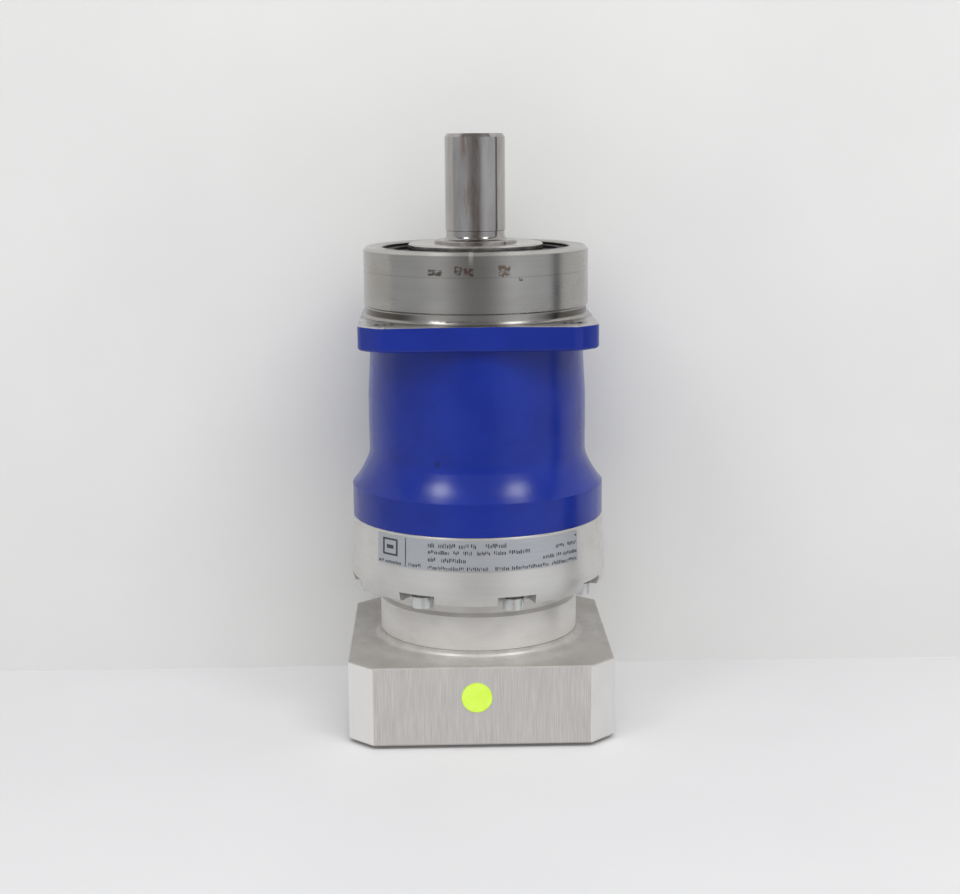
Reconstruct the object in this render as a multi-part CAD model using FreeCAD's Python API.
import FreeCAD, Part
import math
import os

os.makedirs("parts", exist_ok=True)

# Inline two-stage planetary gear reducer with a clamping hub for the motor shaft.
# Millimetres.  +Z runs along the output shaft, z = 0 is the underside of the motor
# adapter plate, the nameplate side faces -Y.  Azimuths count from -Y towards +X.

# ---- Axial levels of the outside --------------------------------------------------
PLATE_TOP = 21.1        # top of the square adapter plate
NECK_Z = 22.95          # joint between adapter plate and input housing
WAIST_Z0 = 33.0
RING_Z0 = 36.8          # underside of the wide part of the input housing
JOINT_Z = 55.1          # joint between input housing and output housing
BAND_TOP = 63.9
FLANGE_Z0 = 102.6
FLANGE_Z1 = 109.1
REGISTER_END = 127.5
SHAFT_SHOULDER = 129.1
SHAFT_END = 157.0

# ---- Output side ------------------------------------------------------------------
SHAFT_R = 8.0
SHAFT_RELIEF_R = 7.8
STUB_R = 11.0           # shaft under the preload ring
SEAT_R = 15.0           # shaft under the taper roller bearings
CARRIER_R = 22.0
REGISTER_R = 30.0
RELIEF_R = 29.6         # undercut where the register meets the flange
FLANGE_HALF = 31.0
FLANGE_CORNER_R = 40.0
FLANGE_PCD = 68.0
FLANGE_HOLE_R = 2.75
FLANGE_EDGE_R = 4.0
FLANGE_FOOT_R = 0.9
NECK_R = 28.8
BARREL_R = 29.35
BAND_R = 34.0
PRELOAD_R = 18.0
SEAL_SEAT_R = 25.0
CENTRE_THREAD_R = 2.1

# ---- Bores of the output housing --------------------------------------------------
SLEEVE_R = 26.2
SPIGOT_R = 28.3
SPIGOT_Z = 46.0
SLEEVE_TOP = 86.0
CUP_R = 23.5
REAR_CUP_Z = 100.0      # shoulder under the rear bearing cup
FRONT_CUP_Z = 106.5     # shoulder under the front bearing cup
SEAL_SEAT_Z = 118.5
SHOULDER_BORE_R = 21.0

# ---- Gears ------------------------------------------------------------------------
MODULE = 0.65
PRESSURE = math.radians(20.0)
THINNING = 0.06         # taken off every tooth at the pitch circle
RING_TEETH = 72
SUN_1_TEETH = 24
PLANET_1_TEETH = 24
SUN_2_TEETH = 18
PLANET_2_TEETH = 27
PLANETS = 3
CENTRE_1 = MODULE * (SUN_1_TEETH + PLANET_1_TEETH) / 2
CENTRE_2 = MODULE * (SUN_2_TEETH + PLANET_2_TEETH) / 2
PIN_1_R = 3.0
PIN_2_R = 3.5
NEEDLE_R = 0.75
NEEDLES_1 = 14
NEEDLES_2 = 16
SUN_1_SHANK_R = 5.0
SUN_2_SHANK_R = 4.5

# ---- Taper roller bearings 30 x 47 x 12, measured from the back face of the cup -----
TAPER_PITCH_R = 19.25
TAPER_WIDTH = 12.0
TAPER_MIDDLE = 6.0
TAPER_ANGLE = math.radians(12.0)
TAPER_ROLLER_R = 2.1
TAPER_ROLLER_LENGTH = 7.8
TAPER_ROLLERS = 20
TAPER_CUP_WIDTH = 9.0

# ---- Input side -------------------------------------------------------------------
NECK_RING_R = 27.0
WAIST_R = 26.1
POCKET_WIDTH = 10.4
POCKET_TOP = 39.4
POCKET_INNER_R = 28.0
HOUSING_SCREWS = 8
HOUSING_SCREW_R = 31.0  # radius of the screw circle
FIRST_SCREW_AZ = -29.3
LOCK_WASHER = 1.0       # thickness of the split washer under each head
BALL_BEARING_Z = 31.0
BALL_BEARING_WIDTH = 12.0
BALL_BEARING_IN_R = 10.0
BALL_BEARING_OUT_R = 21.0
BALL_PITCH_R = 15.5
BALL_R = 3.0
BALLS = 9
INPUT_SEAL_R = 17.5
HUB_R = 12.0
HUB_BORE_R = 7.0
HUB_Z0 = 4.0
HUB_Z1 = 46.0
COLLAR_R = 17.0
COLLAR_TOP = 17.0
CLAMP_X = 11.8
CLAMP_Z = 10.5

# ---- Motor adapter plate ------------------------------------------------------------
PLATE_HALF = 35.0
PLATE_CORNER = 6.4
BOSS_R = 27.2
CENTRING_R = 20.0
CLEARANCE_BORE_R = 18.0
PILOT_R = 30.0
PILOT_DEPTH = 3.5
MOTOR_PCD = 75.0
MOTOR_THREAD_R = 2.1
MOTOR_THREAD_DEPTH = 13.0
ADAPTER_SCREW_R = 24.0  # radius of the screw circle
ACCESS_R = 4.5
PROUD = 0.15            # plug rim and marking dot stand this far off the plate

SLIP = 0.02             # radial room between parts that are fitted together
PLAY = 0.05             # room between parts that move against each other

V = FreeCAD.Vector
ORIGIN = V(0, 0, 0)
Z_AXIS = V(0, 0, 1)


# ---- Helpers ------------------------------------------------------------------------
def cyl(r, z0, z1, x=0.0, y=0.0):
    return Part.makeCylinder(r, z1 - z0, V(x, y, z0))


def tube(r_out, r_in, z0, z1, x=0.0, y=0.0):
    return cyl(r_out, z0, z1, x, y).cut(cyl(r_in, z0 - 1, z1 + 1, x, y))


def box(x0, x1, y0, y1, z0, z1):
    return Part.makeBox(x1 - x0, y1 - y0, z1 - z0, V(x0, y0, z0))


def rod_y(r, y0, y1, x, z):
    return Part.makeCylinder(r, y1 - y0, V(x, y0, z), V(0, 1, 0))


def spun(shape, angle):
    copy = shape.copy()
    copy.rotate(ORIGIN, Z_AXIS, angle)
    return copy


def around(shape, count, start=0.0):
    return [spun(shape, start + i * 360.0 / count) for i in range(count)]


def group(shapes):
    return Part.makeCompound(shapes)


def at_azimuth(radius, azimuth):
    a = math.radians(azimuth)
    return radius * math.sin(a), -radius * math.cos(a)


def screw_azimuths():
    return [FIRST_SCREW_AZ + i * 360.0 / HOUSING_SCREWS for i in range(HOUSING_SCREWS)]


def turned(path, sweep=360.0):
    """Turn a closed profile about Z: (r, z) is a line end, (r, z, r, z) an arc's middle and end."""
    here = V(path[0][0], 0, path[0][1])
    edges = []
    for step in path[1:] + [path[0]]:
        end = V(step[-2], 0, step[-1])
        if len(step) == 4:
            edges.append(Part.Arc(here, V(step[0], 0, step[1]), end).toShape())
        else:
            edges.append(Part.makeLine(here, end))
        here = end
    solid = Part.Face(Part.Wire(edges)).revolve(ORIGIN, Z_AXIS, sweep)
    if solid.Volume < 0:
        solid.reverse()
    return solid


def prism(points, z0, z1):
    corners = [V(x, y, z0) for x, y in points]
    return Part.Face(Part.makePolygon(corners + corners[:1])).extrude(V(0, 0, z1 - z0))


def hex_prism(across_flats, z0, z1):
    r = across_flats / math.sqrt(3)
    turns = [math.radians(60 * i) for i in range(6)]
    return prism([(r * math.cos(a), r * math.sin(a)) for a in turns], z0, z1)


def cap_screw(shank_r, length, head_r, head, socket):
    """Cap screw standing on its head: seat at z = 0, shank up, head and hexagon socket down."""
    body = cyl(shank_r, 0, length).fuse(cyl(head_r, -head, 0))
    return body.cut(hex_prism(socket, -head - 1, -head * 0.45))


def moved(shape, x, y, z):
    copy = shape.copy()
    copy.translate(V(x, y, z))
    return copy


def torus(r, section, z):
    return Part.makeTorus(r, section, V(0, 0, z))


def broken_edges(solid, levels, size):
    """Chamfer every edge that lies in one of the given z planes."""
    flat = [e for e in solid.Edges
            if all(any(abs(v.Z - z) < 1e-6 for z in levels) for v in e.Vertexes)
            and abs(e.Vertexes[0].Z - e.Vertexes[-1].Z) < 1e-6]
    return solid.makeChamfer(size, flat)


# ---- Gear teeth ---------------------------------------------------------------------
def involute(angle):
    return math.tan(angle) - angle


def tooth_half_angle(teeth, r, thinning):
    pitch_r = MODULE * teeth / 2
    pressure_here = math.acos(min(1.0, pitch_r * math.cos(PRESSURE) / r))
    half = math.pi / (2 * teeth) - thinning / (2 * pitch_r)
    return half + involute(PRESSURE) - involute(pressure_here)


def toothed(teeth, r_low, r_high, thinning, z0, z1, tooth_on_x=True):
    """Prism with involute teeth; with negative thinning it is the opening of an internal gear."""
    steps = [r_low + (r_high - r_low) * t for t in (0.0, 0.3, 0.65, 1.0)]
    points = []
    for i in range(teeth):
        middle = 2 * math.pi * (i if tooth_on_x else i + 0.5) / teeth
        for side, radii in ((-1, steps), (1, steps[::-1])):
            for r in radii:
                a = middle + side * tooth_half_angle(teeth, r, thinning)
                points.append((r * math.cos(a), r * math.sin(a)))
    return prism(points, z0, z1)


def outside_gear(teeth, z0, z1, tooth_on_x=True):
    pitch_r = MODULE * teeth / 2
    return toothed(teeth, pitch_r - 1.25 * MODULE, pitch_r + MODULE, THINNING, z0, z1, tooth_on_x)


def ring_gear():
    pitch_r = MODULE * RING_TEETH / 2
    opening = toothed(RING_TEETH, pitch_r - MODULE, pitch_r + 1.25 * MODULE, -THINNING,
                      SPIGOT_Z - 1, SLEEVE_TOP + 1)
    return cyl(SLEEVE_R - SLIP, SPIGOT_Z, SLEEVE_TOP).cut(opening)


def planet(teeth, centre, bore_r, z0, z1):
    gear = outside_gear(teeth, z0, z1).cut(cyl(bore_r, z0 - 1, z1 + 1))
    return moved(gear, centre, 0, 0)


def needles(pin_r, count, centre, z0, z1):
    r = pin_r + NEEDLE_R + SLIP
    one = around(cyl(NEEDLE_R, z0, z1, r), count)
    ring = moved(group(one), centre, 0, 0)
    return group([s for copy in around(ring, PLANETS) for s in copy.Solids])


def needle_bore(pin_r):
    return pin_r + 2 * NEEDLE_R + SLIP + PLAY


def washers(pin_r, outer_r, centre, gaps):
    rings = [tube(outer_r, pin_r + SLIP, z0, z1, centre) for z0, z1 in gaps]
    return group([copy for ring in rings for copy in around(ring, PLANETS)])


# ---- Output housing: square flange, register, barrel and clamping band ----------------
def flange():
    square = box(-FLANGE_HALF, FLANGE_HALF, -FLANGE_HALF, FLANGE_HALF, FLANGE_Z0, FLANGE_Z1)
    plate = square.common(cyl(FLANGE_CORNER_R, FLANGE_Z0, FLANGE_Z1))
    upright = [e for e in plate.Edges if abs(e.Vertexes[0].Z - e.Vertexes[-1].Z) > 1]
    plate = plate.makeFillet(FLANGE_EDGE_R, upright)
    underside = [e for e in plate.Edges if e.BoundBox.ZMax < FLANGE_Z0 + 0.01]
    return broken_edges(plate.makeFillet(FLANGE_FOOT_R, underside), (FLANGE_Z1,), 0.3)


def output_housing():
    body = turned([
        (SLEEVE_R, SPIGOT_Z), (SPIGOT_R - 0.3, SPIGOT_Z), (SPIGOT_R, SPIGOT_Z + 0.3),
        (SPIGOT_R, 48.5), (27.0, 48.5), (27.0, 50.5), (SPIGOT_R, 50.5),
        (SPIGOT_R, JOINT_Z), (BAND_R - 0.1, JOINT_Z), (BAND_R, JOINT_Z + 0.15),
        (BAND_R, BAND_TOP - 0.2), (BAND_R - 0.05, BAND_TOP - 0.06, BAND_R - 0.16, BAND_TOP),
        (31.55, 67.14, 29.8, 70.7), (29.45, 71.8, 29.3, 73.2),
        (29.3, 78.5), (BARREL_R, 78.6), (BARREL_R, 88.0), (NECK_R, 97.7), (NECK_R, FLANGE_Z0 + 1),
        (30.9, FLANGE_Z0 + 1), (30.9, FLANGE_Z1), (29.96, 109.46, RELIEF_R, 110.4),
        (RELIEF_R, 111.8), (REGISTER_R, 112.2), (REGISTER_R, 126.7), (29.2, REGISTER_END),
        (SEAL_SEAT_R + 0.3, REGISTER_END), (SEAL_SEAT_R, 127.2), (SEAL_SEAT_R, SEAL_SEAT_Z),
        (CUP_R, SEAL_SEAT_Z), (CUP_R, FRONT_CUP_Z), (SHOULDER_BORE_R, FRONT_CUP_Z),
        (SHOULDER_BORE_R, REAR_CUP_Z), (CUP_R, REAR_CUP_Z), (CUP_R, SLEEVE_TOP),
        (SLEEVE_R, SLEEVE_TOP)])
    plate = flange().cut(cyl(30.0, FLANGE_Z0 - 1, FLANGE_Z1 + 1)).cut(cyl(30.9, FLANGE_Z0 + 1, 120))
    collar = tube(30.1, 28.0, FLANGE_Z0, FLANGE_Z0 + 1.2)
    housing = body.fuse([plate, collar])
    holes = around(cyl(FLANGE_HOLE_R, FLANGE_Z0 - 1, FLANGE_Z1 + 1, FLANGE_PCD / 2), 4, 45.0)
    for azimuth in screw_azimuths():
        x, y = at_azimuth(HOUSING_SCREW_R, azimuth)
        holes.append(cyl(1.5 + SLIP, JOINT_Z - 1, 62.0, x, y))
    return housing.cut(holes).removeSplitter()


# ---- Output shaft with the second carrier turned and milled on it ---------------------
def output_shaft():
    shaft = turned([
        (0, 83.0), (CARRIER_R, 83.0), (CARRIER_R, 87.5), (17.0, 87.5), (17.0, 88.0),
        (SEAT_R, 88.0), (SEAT_R, SEAL_SEAT_Z), (STUB_R, SEAL_SEAT_Z), (STUB_R, 128.8),
        (STUB_R - 0.3, SHAFT_SHOULDER), (9.15, SHAFT_SHOULDER), (8.195, 129.495, SHAFT_RELIEF_R, 130.45),
        (SHAFT_RELIEF_R, 131.5), (SHAFT_R, 131.65), (SHAFT_R, 156.05), (7.3, SHAFT_END), (0, SHAFT_END)])
    posts = tube(CARRIER_R, 10.5, 69.0, 83.0)
    posts = posts.cut(around(cyl(10.2, 68, 84, CENTRE_2), PLANETS))
    lower = tube(CARRIER_R, 9.0, 65.5, 69.0)
    shaft = shaft.fuse([posts, lower])
    pin_holes = around(cyl(PIN_2_R + SLIP, 65, 87.05, CENTRE_2), PLANETS)
    thread = cyl(CENTRE_THREAD_R, 143.0, SHAFT_END + 1)
    countersink = Part.makeCone(CENTRE_THREAD_R, 2.9, 0.8, V(0, 0, SHAFT_END - 0.8))
    return shaft.cut(pin_holes + [thread, countersink]).removeSplitter()


def preload_ring():
    return turned([
        (STUB_R + SLIP, SEAL_SEAT_Z), (PRELOAD_R, SEAL_SEAT_Z), (PRELOAD_R, 127.9),
        (PRELOAD_R - 0.4, 128.3), (STUB_R + 0.3, 128.3), (STUB_R + SLIP, 128.0)])


def planet_pins_2():
    return group(around(cyl(PIN_2_R, 65.7, 87.0, CENTRE_2), PLANETS))


# ---- First stage ----------------------------------------------------------------------
def carrier_1():
    disc = turned([
        (SUN_2_SHANK_R + SLIP, 57.5), (21.9, 57.5), (22.3, 57.9), (22.3, 62.6), (21.9, 63.0),
        (SUN_2_SHANK_R + SLIP, 63.0)])
    return disc.cut(around(cyl(PIN_1_R + SLIP, 57, 64, CENTRE_1), PLANETS))


def planet_pins_1():
    pin = cyl(PIN_1_R, 47.6, 62.5, CENTRE_1).fuse(cyl(5.5, 46.8, 47.6, CENTRE_1))
    return group(around(pin, PLANETS))


def sun_gear_2():
    teeth = outside_gear(SUN_2_TEETH, 69.0, 82.6)
    return teeth.fuse(cyl(SUN_2_SHANK_R, 57.6, 69.0))


def sun_gear_1():
    teeth = outside_gear(SUN_1_TEETH, 47.5, 57.2, tooth_on_x=False)
    return teeth.fuse(cyl(SUN_1_SHANK_R, 36.0, 47.5))


# ---- Taper roller bearings --------------------------------------------------------------
def taper_apex():
    return TAPER_PITCH_R / math.tan(TAPER_ANGLE)


def roller_cone_angle():
    return math.atan(TAPER_ROLLER_R / (TAPER_PITCH_R / math.sin(TAPER_ANGLE)))


def race_r(u, angle):
    return (u - TAPER_MIDDLE + taper_apex()) * math.tan(angle)


def taper_cup():
    angle = TAPER_ANGLE + roller_cone_angle()
    outer = CUP_R - SLIP
    return turned([
        (race_r(0, angle), 0), (outer, 0), (outer, TAPER_CUP_WIDTH),
        (race_r(TAPER_CUP_WIDTH, angle), TAPER_CUP_WIDTH)])


def taper_cone():
    angle = TAPER_ANGLE - roller_cone_angle()
    inner = SEAT_R + SLIP
    return turned([
        (inner, 0), (17.0, 0), (17.0, 1.5), (race_r(1.5, angle), 1.5), (race_r(10.4, angle), 10.4),
        (19.6, 10.4), (19.6, 11.6), (19.2, TAPER_WIDTH), (inner, TAPER_WIDTH)])


def taper_roller(grow_r, grow_end):
    middle = TAPER_PITCH_R / math.sin(TAPER_ANGLE)
    near = middle - TAPER_ROLLER_LENGTH / 2 - grow_end
    far = middle + TAPER_ROLLER_LENGTH / 2 + grow_end
    slope = math.tan(roller_cone_angle())
    along = V(math.sin(TAPER_ANGLE), 0, math.cos(TAPER_ANGLE))
    foot = V(near * along.x, 0, near * along.z - taper_apex() + TAPER_MIDDLE)
    return Part.makeCone(near * slope + grow_r, far * slope + grow_r, far - near, foot, along)


def taper_rollers():
    return group(around(taper_roller(-PLAY, 0.0), TAPER_ROLLERS))


def taper_cage():
    low = race_r(1.0, TAPER_ANGLE)
    high = race_r(11.2, TAPER_ANGLE)
    shell = turned([(low + 0.45, 1.0), (low + 1.25, 1.0), (high + 1.25, 11.2), (high + 0.45, 11.2)])
    return shell.cut(around(taper_roller(0.12, 0.3), TAPER_ROLLERS))


def front_place(shape):
    return moved(shape, 0, 0, FRONT_CUP_Z)


def rear_place(shape):
    copy = shape.copy()
    copy.rotate(ORIGIN, V(1, 0, 0), 180)
    return moved(copy, 0, 0, REAR_CUP_Z)


# ---- Seals and rings --------------------------------------------------------------------
def output_seal_case():
    outer = SEAL_SEAT_R - SLIP
    return turned([
        (outer, 119.6), (outer, 126.4), (outer - 0.2, 126.6), (22.0, 126.6), (22.0, 125.9),
        (24.3, 125.9), (24.3, 119.6)])


def output_seal_lip():
    return turned([
        (24.2, 125.88), (24.2, 124.6), (21.0, 124.6), (20.2, 122.6), (20.2, 120.4), (19.6, 120.0),
        (PRELOAD_R + PLAY, 121.6), (18.9, 122.9), (19.2, 124.0), (PRELOAD_R + PLAY, 125.2),
        (18.3, 125.88)])


def input_seal_case():
    outer = INPUT_SEAL_R - SLIP
    return turned([
        (14.5, 25.6), (outer, 25.6), (outer, 30.6), (16.9, 30.6), (16.9, 26.2), (14.5, 26.2)])


def input_seal_lip():
    return turned([
        (12.9, 26.22), (16.8, 26.22), (16.8, 27.4), (14.6, 27.4), (14.0, 29.9), (13.2, 30.3),
        (HUB_R + PLAY, 28.9), (12.8, 27.6)])


def snap_ring(r_in, r_out, z0, z1, gap):
    return tube(r_out, r_in, z0, z1).cut(box(-gap, gap, 0, r_out + 1, z0 - 1, z1 + 1))


# ---- Input housing: label ring, waist and neck in one casting ----------------------------
WALL = [(34.36, 46.0), (34.1, 50.4), (34.05, 54.75)]


def screw_pocket():
    half = POCKET_WIDTH / 2
    pocket = box(-half, half, -40, -POCKET_INNER_R, RING_Z0 - 1, POCKET_TOP)
    corners = [e for e in pocket.Edges
               if abs(e.Vertexes[0].Z - e.Vertexes[1].Z) > 1 and e.Vertexes[0].Y > -POCKET_INNER_R - 0.1]
    return pocket.makeFillet(1.5, corners)


def input_housing():
    body = turned([
        (CENTRING_R + SLIP, NECK_Z), (26.8, NECK_Z), (NECK_RING_R, 23.15), (NECK_RING_R, 32.1),
        (WAIST_R, WAIST_Z0), (WAIST_R, RING_Z0), (33.6, RING_Z0), (33.9, 36.9, 34.05, 37.2),
        (34.66, 39.4, 34.78, 41.8), WALL[0], WALL[1], WALL[2], (33.7, JOINT_Z),
        (28.6, JOINT_Z), (SPIGOT_R + SLIP, 54.8), (SPIGOT_R + SLIP, SPIGOT_Z),
        (BALL_BEARING_OUT_R, SPIGOT_Z), (BALL_BEARING_OUT_R, 44.8), (22.25, 44.8), (22.25, 43.0),
        (BALL_BEARING_OUT_R, 43.0), (BALL_BEARING_OUT_R, BALL_BEARING_Z),
        (INPUT_SEAL_R, BALL_BEARING_Z), (INPUT_SEAL_R, 25.0), (CENTRING_R + SLIP, 25.0)])
    cuts = around(cyl(2.0 + SLIP, NECK_Z - 1, 30.8, ADAPTER_SCREW_R), 4)
    for azimuth in screw_azimuths():
        x, y = at_azimuth(HOUSING_SCREW_R, azimuth)
        cuts.append(cyl(1.65, RING_Z0, JOINT_Z + 1, x, y))
        cuts.append(spun(screw_pocket(), azimuth))
    return body.cut(cuts)


def at_housing_screws(shape, z):
    spots = [at_azimuth(HOUSING_SCREW_R, azimuth) for azimuth in screw_azimuths()]
    return group([moved(shape, x, y, z) for x, y in spots])


def housing_screws():
    screw = cap_screw(1.5, 22.0, 2.75, 3.0, 2.5)
    return at_housing_screws(screw, POCKET_TOP - LOCK_WASHER)


def lock_washers():
    washer = tube(2.8, 1.5 + SLIP, 0, LOCK_WASHER).cut(box(-0.2, 0.2, 0, 4, -1, 2))
    return at_housing_screws(washer, POCKET_TOP - LOCK_WASHER)


def nameplate():
    low = WALL[0][0] - 0.5 * (WALL[0][0] - WALL[1][0]) / (WALL[1][1] - WALL[0][1])
    high = WALL[2][0]
    inner = [(low + 0.01, 46.5), (WALL[1][0] + 0.01, 50.4), (high + 0.02, 54.3)]
    outer = [(r + 0.25, z) for r, z in inner[::-1]]
    return spun(turned(inner + outer, 99.0), -141.0)


# ---- Input shaft ball bearing 20 x 42 x 12 ------------------------------------------------
def ball_middle():
    return BALL_BEARING_Z + BALL_BEARING_WIDTH / 2


def ball_groove():
    return torus(BALL_PITCH_R, BALL_R + 0.08, ball_middle())


def ball_race(r_out, r_in):
    z1 = BALL_BEARING_Z + BALL_BEARING_WIDTH
    return tube(r_out, r_in, BALL_BEARING_Z, z1).cut(ball_groove())


def balls():
    ball = Part.makeSphere(BALL_R, V(BALL_PITCH_R, 0, ball_middle()))
    return group(around(ball, BALLS))


def ball_cage():
    ring = tube(16.3, 14.7, ball_middle() - 3.9, ball_middle() + 3.9)
    pocket = Part.makeCylinder(BALL_R + 0.12, 5.0, V(13.0, 0, ball_middle()), V(1, 0, 0))
    return ring.cut(around(pocket, BALLS))


# ---- Clamping hub ---------------------------------------------------------------------------
def clamping_hub():
    hub = turned([
        (HUB_BORE_R + 0.4, HUB_Z0), (COLLAR_R - 0.4, HUB_Z0), (COLLAR_R, HUB_Z0 + 0.4),
        (COLLAR_R, COLLAR_TOP - 0.4), (COLLAR_R - 0.4, COLLAR_TOP), (HUB_R, COLLAR_TOP),
        (HUB_R, BALL_BEARING_Z), (BALL_BEARING_IN_R, BALL_BEARING_Z), (BALL_BEARING_IN_R, 43.05),
        (9.25, 43.05), (9.25, 44.35), (BALL_BEARING_IN_R, 44.35), (BALL_BEARING_IN_R, 45.7),
        (9.7, HUB_Z1), (SUN_1_SHANK_R + SLIP, HUB_Z1), (SUN_1_SHANK_R + SLIP, 36.0), (0, 36.0),
        (0, 34.0), (HUB_BORE_R, 34.0), (HUB_BORE_R, HUB_Z0 + 0.4)])
    slit = box(5.0, 18.0, -0.75, 0.75, HUB_Z0 - 1, COLLAR_TOP)
    clearance = rod_y(2.2, 0, 6, CLAMP_X, CLAMP_Z)
    head_room = rod_y(3.7, 5, 18, CLAMP_X, CLAMP_Z)
    thread = rod_y(2.0 + SLIP, -18, 0, CLAMP_X, CLAMP_Z)
    return hub.cut([slit, clearance, head_room, thread])


def clamp_screw():
    screw = cap_screw(2.0, 14.0, 3.5, 4.0, 3.0)
    screw.rotate(ORIGIN, V(1, 0, 0), 90)
    return moved(screw, CLAMP_X, 5.0, CLAMP_Z)


# ---- Motor adapter plate ----------------------------------------------------------------------
def square_plate():
    h = PLATE_HALF
    c = PLATE_HALF - PLATE_CORNER
    outline = [(h, -c), (h, c), (c, h), (-c, h), (-h, c), (-h, -c), (-c, -h), (c, -h)]
    return broken_edges(prism(outline, 0, PLATE_TOP), (0, PLATE_TOP), 0.3)


def adapter_plate():
    boss = turned([
        (CLEARANCE_BORE_R, 18.0), (29.0, 18.0), (29.0, PLATE_TOP), (27.727, 21.627, BOSS_R, 22.9),
        (BOSS_R - 0.05, NECK_Z), (CENTRING_R, NECK_Z), (CENTRING_R, 24.7), (CENTRING_R - 0.2, 24.9),
        (CLEARANCE_BORE_R, 24.9)])
    plate = square_plate().cut(cyl(CLEARANCE_BORE_R, -1, 30)).fuse(boss)
    cuts = [cyl(PILOT_R, -1, PILOT_DEPTH), rod_y(ACCESS_R, 10, 36, CLAMP_X, CLAMP_Z)]
    cuts += around(cyl(MOTOR_THREAD_R, -1, MOTOR_THREAD_DEPTH, MOTOR_PCD / 2), 4, 45.0)
    cuts += around(cyl(3.7, 0, 10.0, ADAPTER_SCREW_R), 4)
    cuts += around(cyl(2.2, 0, 24.0, ADAPTER_SCREW_R), 4)
    return plate.cut(cuts).removeSplitter()


def adapter_screws():
    screw = moved(cap_screw(2.0, 20.0, 3.5, 4.0, 3.0), ADAPTER_SCREW_R, 0, 10.0)
    return group(around(screw, 4))


def access_plug():
    plug = rod_y(ACCESS_R - SLIP, 30.0, PLATE_HALF, CLAMP_X, CLAMP_Z)
    rim = rod_y(ACCESS_R + 0.7, PLATE_HALF, PLATE_HALF + PROUD, CLAMP_X, CLAMP_Z)
    socket = hex_prism(4.0, 0, 4.0)
    socket.rotate(ORIGIN, V(1, 0, 0), 90)
    return plug.fuse(rim).cut(moved(socket, CLAMP_X, PLATE_HALF + 1, CLAMP_Z))


def marking_dot():
    return rod_y(4.0, -PLATE_HALF - PROUD, -PLATE_HALF, -1.4, 12.9)


# ---- Export -----------------------------------------------------------------------------------
def save(name, shape):
    shape.exportStep("parts/%s.step" % name)


def save_planets(stage, gear):
    for letter, copy in zip("abc", around(gear, PLANETS)):
        save("planet_%d%s" % (stage, letter), copy)


def save_taper_bearing(side, place):
    save("%s_bearing_cup" % side, place(taper_cup()))
    save("%s_bearing_cone" % side, place(taper_cone()))
    save("%s_bearing_rollers" % side, place(taper_rollers()))
    save("%s_bearing_cage" % side, place(taper_cage()))


save("output_housing", output_housing())
save("ring_gear", ring_gear())
save("output_shaft", output_shaft())
save("preload_ring", preload_ring())
save("bearing_spacer", tube(17.0, SEAT_R + SLIP, REAR_CUP_Z, FRONT_CUP_Z))
save_taper_bearing("front", front_place)
save_taper_bearing("rear", rear_place)
save("output_seal_case", output_seal_case())
save("output_seal_lip", output_seal_lip())
save("output_seal_spring", torus(20.65, 0.43, 121.4))

save_planets(2, planet(PLANET_2_TEETH, CENTRE_2, needle_bore(PIN_2_R), 69.5, 82.5))
save("planet_pins_2", planet_pins_2())
save("needles_2", needles(PIN_2_R, NEEDLES_2, CENTRE_2, 69.8, 82.2))
save("thrust_washers_2", washers(PIN_2_R, 7.4, CENTRE_2, [(69.0, 69.45), (82.55, 83.0)]))
save("sun_gear_2", sun_gear_2())

save("carrier_1", carrier_1())
save_planets(1, planet(PLANET_1_TEETH, CENTRE_1, needle_bore(PIN_1_R), 48.05, 57.0))
save("planet_pins_1", planet_pins_1())
save("needles_1", needles(PIN_1_R, NEEDLES_1, CENTRE_1, 48.3, 56.8))
save("thrust_washers_1", washers(PIN_1_R, 6.3, CENTRE_1, [(47.6, 48.0), (57.05, 57.5)]))
save("sun_gear_1", sun_gear_1())

save("input_housing", input_housing())
save("housing_screws", housing_screws())
save("lock_washers", lock_washers())
save("housing_o_ring", torus(27.66, 0.65, 49.5))
save("nameplate", nameplate())
save("input_bearing_outer", ball_race(BALL_BEARING_OUT_R - SLIP, 17.6))
save("input_bearing_inner", ball_race(13.4, BALL_BEARING_IN_R + SLIP))
save("input_bearing_balls", balls())
save("input_bearing_cage", ball_cage())
save("input_seal_case", input_seal_case())
save("input_seal_lip", input_seal_lip())
save("bearing_circlip", snap_ring(20.0, 22.2, 43.05, 44.75, 3.0))
save("hub_circlip", snap_ring(9.3, 11.8, 43.1, 44.3, 2.0))

save("clamping_hub", clamping_hub())
save("clamp_screw", clamp_screw())
save("adapter_plate", adapter_plate())
save("adapter_screws", adapter_screws())
save("access_plug", access_plug())
save("marking_dot", marking_dot())
